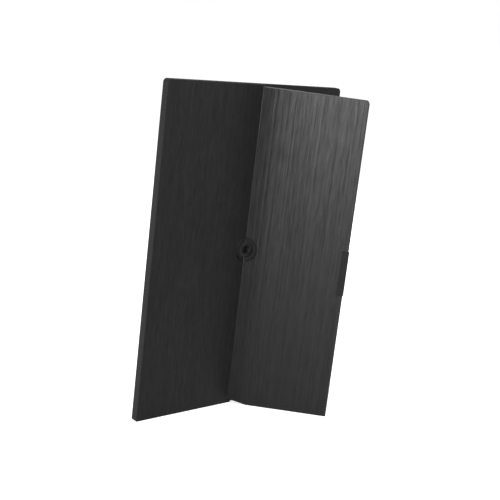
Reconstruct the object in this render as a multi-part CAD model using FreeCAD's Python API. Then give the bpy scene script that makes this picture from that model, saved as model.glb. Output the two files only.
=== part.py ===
import FreeCAD, Part
import math
import os

# Portable monitor that stands on its short edge, with the stand flap on its back swung open.
# x runs to the right as seen from behind, y towards the screen, z up, in millimetres.
# The origin is the middle of the short edge it stands on, at half the body's thickness.
# A depth is measured from the back face towards the screen.

V = FreeCAD.Vector
OUT_DIR = "parts"

# Screen module, which the case is built around
ACTIVE_LONG = 344.2
ACTIVE_SHORT = 193.6
PANEL_ENDS = 15.3
PANEL_SIDES = 30.2
TRAY = 0.5
REFLECTOR = 0.2
GUIDE = 0.8
FILMS = 0.4
CELL = 0.7
LED_STRIP = 0.3
LED_STRIP_HIGH = 1.2
LED_DEEP = 0.6
LED_HIGH = 0.6
LED_LONG = 3.0
LED_COUNT = 42
FLEX = 0.15
FLEX_WIDE = 36.0
FLEX_COUNT = 4
FLEX_REACH = 4.0
PANEL_BOARD = 0.8
PANEL_BOARD_WIDE = 18.0
PANEL_BOARD_INSET = 2.0

# Case: rear cover, brushed skin and front frame
END_MARGIN = 11.25
SIDE_MARGIN = 13.1
TOP_CORNER_R = 4.4
FOOT_CORNER_R = 1.5
SIDE_WALL = 1.8
COVER_WALL = 1.6
COVER_CHAMFER = 0.6
SKIN = 0.6
SKIN_RIM = 1.0
PANEL_CLEAR = 0.55
BEZEL = 1.5
BEZEL_LIP = 1.0
BEZEL_CHAMFER = 0.5
WINDOW_RIM = 0.6
SKIRT_DEEP = 0.8
SKIRT_WIDE = 1.2

# Clearances
SEAT = 0.02
RUNNING = 0.05
EASY = 0.15
MOVING = 0.3

# Stand flap and its hinge
HINGE_X = 4.7
BEAD_R = 2.2
BEAD_DROP = 0.15
FLAP_OPEN = 46.0
FLAP = 3.0
FLAP_LIFT = 0.2
FLAP_EDGE = 0.5
FLAP_CHAMFER = 0.8
FLAP_SIDE_RIM = 1.9
CHANNEL_WALL = 1.2
CHANNEL_FLOOR = 1.0
FOOT_CUT_HIGH = 5.0
FOOT_CUT_WIDE = 24.9
PIN_R = 1.0
SLEEVE_R = 1.5
SLEEVE_LONG = 22.0
FRICTION_PIN_LONG = 27.0
END_PIN_LONG = 12.0
END_PIN_SUNK = 0.3
POCKET_DEEP = 0.8
POCKET_COLUMNS = 2
POCKET_ROWS = 4
POCKET_EDGE = 14.0
POCKET_RIB = 5.0

# Round accessory socket in the middle of the hinge line
DISH_R = 15.0
DISH_DEEP = 1.2
HUB_R = 8.4
HUB_TOP = 0.9
HUB_FLOOR = 0.7
NOTCH_GAP = 1.2
INSERT_FLANGE_R = 7.2
INSERT_FLANGE = 0.6
INSERT_BARREL_R = 6.2
THREAD_R = 4.7625
THREAD_FLOOR = 0.4
THREAD_LEAD = 0.4
WING_LONG = 32.0
WING_HALF = 7.0
WING = 1.4
WING_LIFT = 1.4
WING_SCREW_FIRST = 14.0
WING_SCREW_STEP = 13.0
WING_SCREW_HALF = 4.2

# Rubber pull tab on the free edge of the flap
TAB_LONG = 54.0
TAB_WIDE = 7.6
TAB_PROUD = 0.9
TAB_RAISED = 0.2
TAB_ROUND = 0.5
TAB_SLOPE = 2.0
TAB_DROP = 11.4
TONGUE = 0.8
TONGUE_SHORT = 1.5

# Main board and what it carries
BOARD_WIDE = 62.0
BOARD_SIDE_EDGE = 13.0
BOARD_TOP_EDGE = 6.0
BOARD = 1.0
BOARD_LIFT = 1.2
BOARD_HOLE_INSET = 4.0
STANDOFF_R = 2.2
CAN_INSET = 20.0
CAN_DROP = 28.0
CAN_SIDE = 24.0
CAN_HIGH = 1.6
CAN_SHEET = 0.2
CHIP_SIDE = 14.0
CHIP_HIGH = 1.1
MEMORY_INSET = 44.0
MEMORY_WIDE = 9.0
MEMORY_LONG = 11.0
MEMORY_HIGH = 0.9
COIL_SIDE = 4.0
COIL_HIGH = 1.5
COIL_COUNT = 3
COIL_STEP = 6.0
COIL_DROP = 12.0
LINK_DEEP = 5.0
LINK_LONG = 16.0
LINK_DROP = 30.0
KEY_LINK_LONG = 7.0
KEY_LINK_DROP = 48.0
KEY_LINK_TAIL = 12.5

# Port on the short edge that is uppermost here
PORT_INSET = 32.0
PORT_WIDE = 8.94
PORT_HIGH = 3.16
PORT_LONG = 7.3
PORT_SHEET = 0.3
PORT_SUNK = 0.3
PORT_BACK = 0.8
PORT_TONGUE = 0.7
PORT_TONGUE_WIDE = 6.7
PORT_TONGUE_SHORT = 0.7

# Flat cables
CABLE = 0.2
CABLE_CLEAR = 0.15
PANEL_CABLE_WIDE = 12.0
KEY_CABLE_WIDE = 4.0
KEY_CABLE_INSET = 32.0

# Button and status light on the front frame
BUTTON_R = 3.0
BUTTON_EDGE = 7.6
BUTTON_UP = 10.0
BUTTON_PROUD = 0.25
BUTTON_FLANGE = 0.8
BUTTON_FLANGE_WIDE = 1.0
BUTTON_TRAVEL = 0.4
KEY_BOARD = 0.8
KEY_BOARD_WIDE = 9.0
KEY_BOARD_LONG = 30.0
KEY_BOARD_Z = 18.0
SWITCH_SIDE = 6.0
SWITCH_HIGH = 1.0
PLUNGER_R = 1.2
PLUNGER_SUNK = 0.3
LIGHT_UP = 18.0
LIGHT_R = 0.9
LIGHT_FLANGE_R = 1.6
LIGHT_FLANGE = 0.6
LED_CHIP_SIDE = 1.6
LED_CHIP_HIGH = 0.6

# Screws, hooks, rails, posts and feet
CASE_SCREW_R = 0.8
CASE_SCREW_LONG = 4.0
CASE_HEAD_R = 1.6
CASE_HEAD = 0.7
CASE_SCREW_EDGE = 7.0
CASE_SCREW_LOW = 18.0
CASE_SCREW_HIGH = 30.0
CASE_SCREW_COUNT = 6
CASE_BOSS_R = 2.4
INNER_SCREW_R = 0.8
INNER_HEAD_R = 1.5
INNER_HEAD = 0.6
INNER_SCREW_BITE = 2.0
HOOK_COUNT = 5
HOOK_WIDE = 8.0
HOOK_THICK = 1.2
HOOK_DEEP = 2.6
HOOK_BARB = 0.7
HOOK_BARB_HIGH = 0.8
HOOK_END = 40.0
RAIL_WIDE = 2.0
RAIL_END = 12.0
RAIL_EDGE = 12.0
RAIL_HUB_GAP = 16.0
RAIL_CABLE_GAP = 20.0
POST_SIDE = 4.0
POST_SIDE_EDGE = 7.0
POST_LOW = 14.0
POST_HIGH = 9.0
POST_BOARD_GAP = 10.0
FOOT_LONG = 40.0
FOOT_WIDE = 3.0
FOOT_SUNK = 0.8
FOOT_PROUD = 0.4
FOOT_INSET = 40.0

# How far a cutter runs past the face it opens
OVER = 1.0

# Heights and widths that follow from the sizes above
PANEL_LONG = ACTIVE_LONG + PANEL_ENDS
PANEL_SHORT = ACTIVE_SHORT + PANEL_SIDES
HEIGHT = PANEL_LONG + 2 * END_MARGIN
WIDTH = PANEL_SHORT + 2 * SIDE_MARGIN
HALF = WIDTH / 2
SOCKET_Z = HEIGHT / 2
CHANNEL_R = BEAD_R + MOVING
FOLD_X = HINGE_X - CHANNEL_R
CHANNEL_X1 = HINGE_X + CHANNEL_R
CHANNEL_TOP = HEIGHT - SIDE_WALL
FLAP_TOP = CHANNEL_TOP - MOVING
FLAP_END = HALF - FLAP_EDGE
TAB_Z = FLAP_TOP / 2 - TAB_DROP
NOTCH_R = HUB_R + NOTCH_GAP
BORE_R = PIN_R + RUNNING
PANEL_X = PANEL_SHORT / 2
PANEL_Z0 = END_MARGIN
PANEL_Z1 = END_MARGIN + PANEL_LONG
BOARD_X0 = -HALF + BOARD_SIDE_EDGE
BOARD_X1 = BOARD_X0 + BOARD_WIDE
BOARD_Z1 = HEIGHT - BOARD_TOP_EDGE
BOARD_Z0 = BOARD_Z1 - KEY_LINK_DROP - KEY_LINK_LONG / 2 - KEY_LINK_TAIL
LINK_Z = BOARD_Z1 - LINK_DROP
KEY_LINK_Z = BOARD_Z1 - KEY_LINK_DROP
PORT_X = BOARD_X0 + PORT_INSET
KEY_X1 = HALF - SIDE_WALL - MOVING
KEY_X0 = KEY_X1 - KEY_BOARD_WIDE
KEY_BOARD_TOP = KEY_BOARD_Z + KEY_BOARD_LONG
KEY_CABLE_Z = KEY_BOARD_TOP - KEY_LINK_LONG / 2
BUTTON_X = HALF - BUTTON_EDGE
BUTTON_Z = KEY_BOARD_Z + BUTTON_UP
LIGHT_Z = KEY_BOARD_Z + LIGHT_UP
CASE_X = HALF - CASE_SCREW_EDGE
PANEL_BOARD_X1 = PANEL_X - PANEL_BOARD_INSET
PANEL_BOARD_X0 = PANEL_BOARD_X1 - PANEL_BOARD_WIDE
PANEL_BOARD_Z0 = KEY_BOARD_TOP + KEY_CABLE_WIDE
PANEL_BOARD_Z1 = LINK_Z + LINK_LONG / 2
KEY_CABLE_X = PANEL_BOARD_X0 - KEY_CABLE_INSET

# Depths that follow from the sizes above
LEFT_IN = SKIN + COVER_WALL
RECESS_FLOOR = FLAP + FLAP_LIFT
FLOOR_IN = RECESS_FLOOR + COVER_WALL
AXIS_DEPTH = BEAD_R + BEAD_DROP
CHANNEL_IN = AXIS_DEPTH + CHANNEL_R + CHANNEL_FLOOR
PANEL_BACK = CHANNEL_IN + PANEL_CLEAR
REFLECTOR_BACK = PANEL_BACK + TRAY
GUIDE_BACK = REFLECTOR_BACK + REFLECTOR
FILMS_BACK = GUIDE_BACK + GUIDE
CELL_BACK = FILMS_BACK + FILMS
CELL_FRONT = CELL_BACK + CELL
THICK = CELL_FRONT + BEZEL_LIP
COVER_DEEP = THICK - BEZEL
BOARD_BACK = LEFT_IN + BOARD_LIFT
BOARD_FRONT = BOARD_BACK + BOARD
PORT_DEPTH = BOARD_FRONT + PORT_HIGH / 2
CABLE_FRONT = PANEL_BACK - CABLE_CLEAR
PANEL_BOARD_BACK = PANEL_BACK - PANEL_BOARD
KEY_FRONT = FLOOR_IN + KEY_BOARD
SWITCH_FRONT = KEY_FRONT + SWITCH_HIGH
BUTTON_BACK = COVER_DEEP - MOVING - BUTTON_FLANGE
WING_BACK = LEFT_IN + WING_LIFT
WING_FRONT = WING_BACK + WING
FOOT_DEPTH = (FLOOR_IN + COVER_DEEP) / 2


def depth_y(depth):
    return depth - THICK / 2


def box(x0, x1, depth0, depth1, z0, z1):
    return Part.makeBox(x1 - x0, depth1 - depth0, z1 - z0, V(x0, depth_y(depth0), z0))


def rod_y(x, z, radius, depth0, depth1):
    return Part.makeCylinder(radius, depth1 - depth0, V(x, depth_y(depth0), z), V(0, 1, 0))


def rod_z(x, depth, radius, z0, z1):
    return Part.makeCylinder(radius, z1 - z0, V(x, depth_y(depth), z0), V(0, 0, 1))


def cone_y(x, z, radius0, radius1, depth0, depth1):
    return Part.makeCone(radius0, radius1, depth1 - depth0, V(x, depth_y(depth0), z), V(0, 1, 0))


def stadium_z(x, depth, wide, high, z0, z1):
    """Bar along z with two flat sides and two round ones."""
    reach = (wide - high) / 2
    middle = box(x - reach, x + reach, depth - high / 2, depth + high / 2, z0, z1)
    ends = [rod_z(x + side * reach, depth, high / 2, z0, z1) for side in (-1, 1)]
    return middle.fuse(ends).removeSplitter()


def rounded_corner(before, corner, after):
    """Start, middle and end of the arc that rounds a corner given as x, z and radius."""
    point = V(corner[0], 0, corner[1])
    back = (V(before[0], 0, before[1]) - point).normalize()
    ahead = (V(after[0], 0, after[1]) - point).normalize()
    half_angle = back.getAngle(ahead) / 2
    inward = (back + ahead).normalize()
    run = corner[2] / math.tan(half_angle)
    middle = point + inward * (corner[2] / math.sin(half_angle) - corner[2])
    return point + back * run, middle, point + ahead * run


def slab(corners, depth0, depth1):
    """Plate across the depth, from its corners in order, each x, z and rounding radius."""
    count = len(corners)
    arcs = []
    for i in range(count):
        arcs.append(rounded_corner(corners[i - 1], corners[i], corners[(i + 1) % count]))
    edges = []
    for i in range(count):
        start, middle, end = arcs[i]
        if corners[i][2] > 0:
            edges.append(Part.Arc(start, middle, end).toShape())
        edges.append(Part.LineSegment(end, arcs[(i + 1) % count][0]).toShape())
    plate = Part.Face(Part.Wire(edges)).extrude(V(0, depth1 - depth0, 0))
    return plate.translated(V(0, depth_y(depth0), 0))


def frame_slab(half_x, z0, z1, wide, depth0, depth1):
    outer = box(-half_x, half_x, depth0, depth1, z0, z1)
    return outer.cut(box(-half_x + wide, half_x - wide, depth0, depth1, z0 + wide, z1 - wide))


def ease_rim(shape, depth, size):
    """Chamfer every edge that lies in the plane at one depth."""
    y = depth_y(depth)
    edges = [e for e in shape.Edges if all(abs(v.Y - y) < SEAT for v in e.Vertexes)]
    return shape.makeChamfer(size, edges)


def spread(first, last, count):
    return [first + (last - first) * i / (count - 1) for i in range(count)]


def body_outline(inset):
    half = HALF - inset
    foot_r = max(FOOT_CORNER_R - inset, 0)
    top_r = max(TOP_CORNER_R - inset, 0)
    low = [(-half, inset, foot_r), (half, inset, foot_r)]
    return low + [(half, HEIGHT - inset, top_r), (-half, HEIGHT - inset, top_r)]


def foot_cut_z(x, inset):
    """Height of the sloping cut at the flap's lower hinge corner, moved in by the inset."""
    slope = FOOT_CUT_HIGH / FOOT_CUT_WIDE
    from_edge = x - (HINGE_X - BEAD_R)
    return FOOT_CUT_HIGH - slope * from_edge + inset * math.hypot(1, slope)


def flap_outline(x_hinge, inset, side):
    """Outline of the flap, moved in by the inset at its ends and by its own amount at the free side."""
    slope = FOOT_CUT_HIGH / FOOT_CUT_WIDE
    cut_end = x_hinge + (foot_cut_z(x_hinge, inset) - inset) / slope
    foot_r = max(FOOT_CORNER_R - inset, 0)
    top_r = max(TOP_CORNER_R - inset, 0)
    low = [(x_hinge, foot_cut_z(x_hinge, inset), 0), (cut_end, inset, 0)]
    free = [(FLAP_END - side, inset, foot_r), (FLAP_END - side, FLAP_TOP - inset, top_r)]
    return low + free + [(x_hinge, FLAP_TOP - inset, 0)]


def lug_top():
    """The lug under the hinge bead stays below the flap's sloping cut at every angle."""
    reach = math.hypot(CHANNEL_R, AXIS_DEPTH)
    return foot_cut_z(HINGE_X + reach, 0) - MOVING


def dish():
    return cone_y(HINGE_X, SOCKET_Z, DISH_R, NOTCH_R, 0, DISH_DEEP)


def case_screw_heights():
    return spread(KEY_BOARD_TOP + CASE_SCREW_LOW, HEIGHT - CASE_SCREW_HIGH, CASE_SCREW_COUNT)


def board_screw_places():
    xs = (BOARD_X0 + BOARD_HOLE_INSET, BOARD_X1 - BOARD_HOLE_INSET)
    zs = (BOARD_Z0 + BOARD_HOLE_INSET, BOARD_Z1 - BOARD_HOLE_INSET)
    return [(x, z) for x in xs for z in zs]


def hub_screw_places():
    first = HINGE_X - WING_SCREW_FIRST
    xs = (first, first - WING_SCREW_STEP)
    return [(x, SOCKET_Z + side * WING_SCREW_HALF) for x in xs for side in (-1, 1)]


def hook_heights():
    return spread(HOOK_END, HEIGHT - HOOK_END, HOOK_COUNT)


def foot_spans():
    low = (FOOT_INSET, FOOT_INSET + FOOT_LONG)
    return [low, (HEIGHT - low[1], HEIGHT - low[0])]


def port_opening():
    wide = PORT_WIDE + 2 * EASY
    high = PORT_HIGH + 2 * EASY
    return stadium_z(PORT_X, PORT_DEPTH, wide, high, HEIGHT - PORT_SUNK - PORT_LONG, HEIGHT + OVER)


def rail_places():
    left = (-PANEL_X + RAIL_EDGE, HINGE_X - WING_LONG - RAIL_HUB_GAP)
    return left + (KEY_CABLE_X - RAIL_CABLE_GAP, KEY_CABLE_X + RAIL_CABLE_GAP)


def post_places():
    side = PANEL_X - POST_SIDE_EDGE
    low = PANEL_Z0 + POST_LOW
    high = PANEL_Z1 - POST_HIGH
    return (-side, low), (side, low), (BOARD_X1 + POST_BOARD_GAP, high), (side, high)


def inner_space():
    inner_x = HALF - SIDE_WALL
    top = HEIGHT - SIDE_WALL
    open_end = COVER_DEEP + OVER
    left_x1 = FOLD_X - CHANNEL_WALL
    right_x0 = CHANNEL_X1 + CHANNEL_WALL
    left = box(-inner_x, left_x1, LEFT_IN, open_end, SIDE_WALL, top)
    middle = box(left_x1, right_x0, CHANNEL_IN, open_end, SIDE_WALL, top)
    right = box(right_x0, inner_x, FLOOR_IN, open_end, SIDE_WALL, top)
    return left.fuse([middle, right])


def flap_recess():
    """Recess that the flap closes into. It runs out at three edges; a rim stays over the hinge bead."""
    low = lug_top()
    wide = box(CHANNEL_X1, HALF + OVER, -OVER, RECESS_FLOOR, -OVER, HEIGHT + OVER)
    throat = box(FOLD_X, HINGE_X, -OVER, AXIS_DEPTH, low, CHANNEL_TOP)
    step = box(HINGE_X, CHANNEL_X1, -OVER, RECESS_FLOOR, low, CHANNEL_TOP)
    channel = rod_z(HINGE_X, AXIS_DEPTH, CHANNEL_R, low, CHANNEL_TOP)
    return wide.fuse([throat, step, channel])


def rear_skin_plate(x_fold):
    rim = SKIN_RIM
    foot_r = max(FOOT_CORNER_R - rim, 0)
    top_r = max(TOP_CORNER_R - rim, 0)
    left = [(-HALF + rim, rim, foot_r), (x_fold, rim, 0)]
    return slab(left + [(x_fold, HEIGHT - rim, 0), (-HALF + rim, HEIGHT - rim, top_r)], 0, SKIN)


def rear_cover_supports():
    """Rails and posts behind the screen, standoffs under the board and bosses under the hub."""
    supports = []
    rail_z0 = KEY_BOARD_TOP + RAIL_END
    rail_z1 = BOARD_Z0 - RAIL_END
    for x in rail_places():
        floor = LEFT_IN if x < HINGE_X else FLOOR_IN
        supports.append(box(x - RAIL_WIDE / 2, x + RAIL_WIDE / 2, floor, PANEL_BACK, rail_z0, rail_z1))
    for x, z in post_places():
        floor = LEFT_IN if x < HINGE_X else FLOOR_IN
        half = POST_SIDE / 2
        supports.append(box(x - half, x + half, floor, PANEL_BACK, z - half, z + half))
    for x, z in board_screw_places():
        supports.append(rod_y(x, z, STANDOFF_R, LEFT_IN, BOARD_BACK))
    for x, z in hub_screw_places():
        supports.append(rod_y(x, z, STANDOFF_R, LEFT_IN, WING_BACK))
    return supports


def rear_cover_holes():
    holes = []
    for z in case_screw_heights():
        holes.append(rod_y(CASE_X, z, CASE_SCREW_R + EASY, RECESS_FLOOR - OVER, FLOOR_IN + OVER))
        holes.append(rod_y(CASE_X, z, CASE_HEAD_R + EASY, RECESS_FLOOR - OVER, RECESS_FLOOR + CASE_HEAD))
    for x, z in board_screw_places():
        holes.append(rod_y(x, z, INNER_SCREW_R + SEAT, BOARD_BACK - INNER_SCREW_BITE, BOARD_BACK + OVER))
    for x, z in hub_screw_places():
        holes.append(rod_y(x, z, INNER_SCREW_R + SEAT, WING_BACK - INNER_SCREW_BITE, WING_BACK + OVER))
    wall_in = -HALF + SIDE_WALL
    for z in hook_heights():
        barb_x = wall_in - HOOK_BARB
        half = HOOK_WIDE / 2 + EASY
        depth1 = COVER_DEEP - HOOK_DEEP + HOOK_BARB_HIGH + EASY
        depth0 = COVER_DEEP - HOOK_DEEP - EASY
        holes.append(box(barb_x, wall_in + OVER, depth0, depth1, z - half, z + half))
    for z0, z1 in foot_spans():
        back = FOOT_DEPTH - FOOT_WIDE / 2
        front = FOOT_DEPTH + FOOT_WIDE / 2
        holes.append(box(HALF - FOOT_SUNK, HALF + OVER, back, front, z0, z1))
    holes.append(port_opening())
    holes.append(rod_z(HINGE_X, AXIS_DEPTH, PIN_R + SEAT, END_PIN_SUNK, lug_top() + OVER))
    holes.append(rod_z(HINGE_X, AXIS_DEPTH, PIN_R + SEAT, CHANNEL_TOP - OVER, HEIGHT - END_PIN_SUNK))
    return holes


def rear_cover():
    cover = ease_rim(slab(body_outline(0), 0, COVER_DEEP), 0, COVER_CHAMFER)
    hub_space = rod_y(HINGE_X, SOCKET_Z, HUB_R + SEAT, -OVER, CHANNEL_IN + OVER)
    cover = cover.cut([inner_space(), flap_recess(), rear_skin_plate(FOLD_X + OVER)])
    cover = cover.fuse(rear_cover_supports())
    cover = cover.cut([hub_space, dish()])
    return cover.cut(rear_cover_holes()).removeSplitter()


def rear_skin():
    return rear_skin_plate(FOLD_X).cut(dish()).removeSplitter()


def front_bezel():
    frame = ease_rim(slab(body_outline(0), COVER_DEEP, THICK), THICK, BEZEL_CHAMFER)
    window_x = ACTIVE_SHORT / 2 + WINDOW_RIM
    window_z0 = (HEIGHT - ACTIVE_LONG) / 2 - WINDOW_RIM
    window = box(-window_x, window_x, COVER_DEEP - OVER, THICK + OVER, window_z0, HEIGHT - window_z0)
    pocket_x = PANEL_X + MOVING
    pocket_z0 = PANEL_Z0 - MOVING
    pocket = box(-pocket_x, pocket_x, COVER_DEEP - OVER, CELL_FRONT, pocket_z0, HEIGHT - pocket_z0)
    skirt_in = SIDE_WALL + EASY
    skirt_z1 = HEIGHT - skirt_in
    skirt = frame_slab(HALF - skirt_in, skirt_in, skirt_z1, SKIRT_WIDE, COVER_DEEP - SKIRT_DEEP, COVER_DEEP)
    frame = frame.cut([window, pocket]).fuse([skirt] + bezel_bosses() + bezel_hooks())
    flange_r = BUTTON_R + BUTTON_FLANGE_WIDE + MOVING
    holes = [rod_y(BUTTON_X, BUTTON_Z, BUTTON_R + MOVING, COVER_DEEP - OVER, THICK + OVER)]
    holes.append(rod_y(BUTTON_X, BUTTON_Z, flange_r, COVER_DEEP - SKIRT_DEEP, COVER_DEEP))
    holes.append(port_opening())
    holes.append(rod_y(BUTTON_X, LIGHT_Z, LIGHT_R + SEAT, COVER_DEEP - OVER, THICK + OVER))
    for z in case_screw_heights():
        holes.append(rod_y(CASE_X, z, CASE_SCREW_R + SEAT, FLOOR_IN - OVER, COVER_DEEP))
    return frame.cut(holes).removeSplitter()


def bezel_bosses():
    return [rod_y(CASE_X, z, CASE_BOSS_R, FLOOR_IN, COVER_DEEP) for z in case_screw_heights()]


def bezel_hooks():
    hooks = []
    x0 = -HALF + SIDE_WALL + EASY
    depth0 = COVER_DEEP - HOOK_DEEP
    for z in hook_heights():
        z0 = z - HOOK_WIDE / 2
        z1 = z + HOOK_WIDE / 2
        hooks.append(box(x0, x0 + HOOK_THICK, depth0, COVER_DEEP, z0, z1))
        hooks.append(box(x0 - HOOK_BARB, x0, depth0, depth0 + HOOK_BARB_HIGH, z0, z1))
    return hooks


def flex_heights():
    step = (PANEL_BOARD_Z1 - PANEL_BOARD_Z0) / FLEX_COUNT
    return [PANEL_BOARD_Z0 + step * (i + 0.5) for i in range(FLEX_COUNT)]


def lcd_tray():
    tray = box(-PANEL_X, PANEL_X, PANEL_BACK, CELL_FRONT, PANEL_Z0, PANEL_Z1)
    inner_x = PANEL_X - TRAY
    tray = tray.cut(box(-inner_x, inner_x, REFLECTOR_BACK, THICK, PANEL_Z0 + TRAY, PANEL_Z1 - TRAY))
    slots = []
    for z in flex_heights():
        half = FLEX_WIDE / 2 + EASY
        slots.append(box(inner_x - OVER, PANEL_X + OVER, CELL_BACK - FLEX, THICK, z - half, z + half))
    return tray.cut(slots)


def tray_sheet(x1, depth0, depth1):
    """Sheet that lies in the tray, up to x1 on the side of the lights."""
    gap = TRAY + MOVING
    return box(-PANEL_X + gap, x1, depth0, depth1, PANEL_Z0 + gap, PANEL_Z1 - gap)


def reflector_sheet():
    return tray_sheet(PANEL_X - TRAY - MOVING - LED_STRIP, REFLECTOR_BACK, GUIDE_BACK)


def light_guide():
    return tray_sheet(PANEL_X - TRAY - LED_STRIP - LED_DEEP, GUIDE_BACK, FILMS_BACK)


def optical_films():
    return tray_sheet(PANEL_X - FLEX_REACH - MOVING, FILMS_BACK, CELL_BACK)


def lcd_cell():
    return tray_sheet(PANEL_X - TRAY - MOVING, CELL_BACK, CELL_FRONT)


def led_strip():
    x1 = PANEL_X - TRAY
    depth1 = REFLECTOR_BACK + LED_STRIP_HIGH
    gap = TRAY + MOVING
    return box(x1 - LED_STRIP, x1, REFLECTOR_BACK, depth1, PANEL_Z0 + gap, PANEL_Z1 - gap)


def backlight_leds():
    x1 = PANEL_X - TRAY - LED_STRIP
    middle = REFLECTOR_BACK + LED_STRIP_HIGH / 2
    clear = PANEL_Z0 + TRAY + MOVING + LED_LONG
    leds = []
    for z in spread(clear, HEIGHT - clear, LED_COUNT):
        half = LED_LONG / 2
        leds.append(box(x1 - LED_DEEP, x1, middle - LED_HIGH / 2, middle + LED_HIGH / 2, z - half, z + half))
    return Part.makeCompound(leds)


def driver_flex():
    """Flexible circuits from the glass edge, round the tray wall, to the board behind it."""
    x1 = PANEL_X + EASY
    pieces = []
    for z in flex_heights():
        z0 = z - FLEX_WIDE / 2
        z1 = z + FLEX_WIDE / 2
        front = box(PANEL_X - FLEX_REACH, x1 + FLEX, CELL_BACK - FLEX, CELL_BACK, z0, z1)
        side = box(x1, x1 + FLEX, PANEL_BOARD_BACK - FLEX, CELL_BACK, z0, z1)
        back = box(PANEL_X - FLEX_REACH, x1 + FLEX, PANEL_BOARD_BACK - FLEX, PANEL_BOARD_BACK, z0, z1)
        pieces.append(front.fuse([side, back]).removeSplitter())
    return Part.makeCompound(pieces)


def panel_board():
    return box(PANEL_BOARD_X0, PANEL_BOARD_X1, PANEL_BOARD_BACK, PANEL_BACK, PANEL_BOARD_Z0, PANEL_BOARD_Z1)


def main_board():
    board = box(BOARD_X0, BOARD_X1, BOARD_BACK, BOARD_FRONT, BOARD_Z0, BOARD_Z1)
    radius = INNER_SCREW_R + EASY
    return board.cut([rod_y(x, z, radius, BOARD_BACK, BOARD_FRONT) for x, z in board_screw_places()])


def inner_screw(x, z, under_head, bite):
    shank = rod_y(x, z, INNER_SCREW_R, bite, under_head)
    return shank.fuse(rod_y(x, z, INNER_HEAD_R, under_head, under_head + INNER_HEAD)).removeSplitter()


def board_screws():
    bite = BOARD_BACK - INNER_SCREW_BITE
    return Part.makeCompound([inner_screw(x, z, BOARD_FRONT, bite) for x, z in board_screw_places()])


def hub_screws():
    bite = WING_BACK - INNER_SCREW_BITE
    return Part.makeCompound([inner_screw(x, z, WING_FRONT, bite) for x, z in hub_screw_places()])


def square_part(x, z, side, depth0, depth1):
    return box(x - side / 2, x + side / 2, depth0, depth1, z - side / 2, z + side / 2)


def shield_can():
    x = BOARD_X0 + CAN_INSET
    z = BOARD_Z1 - CAN_DROP
    can = square_part(x, z, CAN_SIDE, BOARD_FRONT, BOARD_FRONT + CAN_HIGH)
    inside = CAN_SIDE - 2 * CAN_SHEET
    return can.cut(square_part(x, z, inside, BOARD_FRONT, BOARD_FRONT + CAN_HIGH - CAN_SHEET))


def controller_chip():
    x = BOARD_X0 + CAN_INSET
    return square_part(x, BOARD_Z1 - CAN_DROP, CHIP_SIDE, BOARD_FRONT, BOARD_FRONT + CHIP_HIGH)


def memory_chip():
    x0 = BOARD_X0 + MEMORY_INSET - MEMORY_WIDE / 2
    z0 = BOARD_Z1 - CAN_DROP - MEMORY_LONG / 2
    return box(x0, x0 + MEMORY_WIDE, BOARD_FRONT, BOARD_FRONT + MEMORY_HIGH, z0, z0 + MEMORY_LONG)


def power_coils():
    coils = []
    for i in range(COIL_COUNT):
        x = BOARD_X0 + MEMORY_INSET + i * COIL_STEP
        coils.append(square_part(x, BOARD_Z1 - COIL_DROP, COIL_SIDE, BOARD_FRONT, BOARD_FRONT + COIL_HIGH))
    return Part.makeCompound(coils)


def cable_socket(x0, x1, back, z, long):
    return box(x0, x1, back, CABLE_FRONT, z - long / 2, z + long / 2)


def cable_sockets():
    """Sockets of the screen cable and the button cable, on both boards."""
    main_x0 = BOARD_X1 - LINK_DEEP
    panel = cable_socket(main_x0, BOARD_X1, BOARD_FRONT, LINK_Z, LINK_LONG)
    main = cable_socket(main_x0, BOARD_X1, BOARD_FRONT, KEY_LINK_Z, KEY_LINK_LONG)
    key = cable_socket(KEY_X0, KEY_X0 + LINK_DEEP, KEY_FRONT, KEY_CABLE_Z, KEY_LINK_LONG)
    return Part.makeCompound([panel, main, key])


def panel_cable():
    half = PANEL_CABLE_WIDE / 2
    return box(BOARD_X1, PANEL_BOARD_X0, CABLE_FRONT - CABLE, CABLE_FRONT, LINK_Z - half, LINK_Z + half)


def button_cable():
    half = KEY_CABLE_WIDE / 2
    back = CABLE_FRONT - CABLE
    x0 = KEY_CABLE_X - half
    x1 = KEY_CABLE_X + half
    low = box(x0, KEY_X0, back, CABLE_FRONT, KEY_CABLE_Z - half, KEY_CABLE_Z + half)
    up = box(x0, x1, back, CABLE_FRONT, KEY_CABLE_Z - half, KEY_LINK_Z + half)
    high = box(BOARD_X1, x1, back, CABLE_FRONT, KEY_LINK_Z - half, KEY_LINK_Z + half)
    return up.fuse([low, high]).removeSplitter()


def usb_port():
    z1 = HEIGHT - PORT_SUNK
    z0 = z1 - PORT_LONG
    shell = stadium_z(PORT_X, PORT_DEPTH, PORT_WIDE, PORT_HIGH, z0, z1)
    wide = PORT_WIDE - 2 * PORT_SHEET
    high = PORT_HIGH - 2 * PORT_SHEET
    return shell.cut(stadium_z(PORT_X, PORT_DEPTH, wide, high, z0 + PORT_BACK, z1 + OVER))


def usb_tongue():
    z1 = HEIGHT - PORT_SUNK
    half_x = PORT_TONGUE_WIDE / 2
    half = PORT_TONGUE / 2
    z0 = z1 - PORT_LONG + PORT_BACK
    front = PORT_DEPTH + half
    return box(PORT_X - half_x, PORT_X + half_x, PORT_DEPTH - half, front, z0, z1 - PORT_TONGUE_SHORT)


def button_board():
    return box(KEY_X0, KEY_X1, FLOOR_IN, KEY_FRONT, KEY_BOARD_Z, KEY_BOARD_TOP)


def tact_switch():
    body = square_part(BUTTON_X, BUTTON_Z, SWITCH_SIDE, KEY_FRONT, SWITCH_FRONT)
    bottom = SWITCH_FRONT - PLUNGER_SUNK - BUTTON_TRAVEL - RUNNING
    return body.cut(rod_y(BUTTON_X, BUTTON_Z, PLUNGER_R + RUNNING, bottom, SWITCH_FRONT + OVER))


def switch_plunger():
    return rod_y(BUTTON_X, BUTTON_Z, PLUNGER_R, SWITCH_FRONT - PLUNGER_SUNK, BUTTON_BACK)


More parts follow.
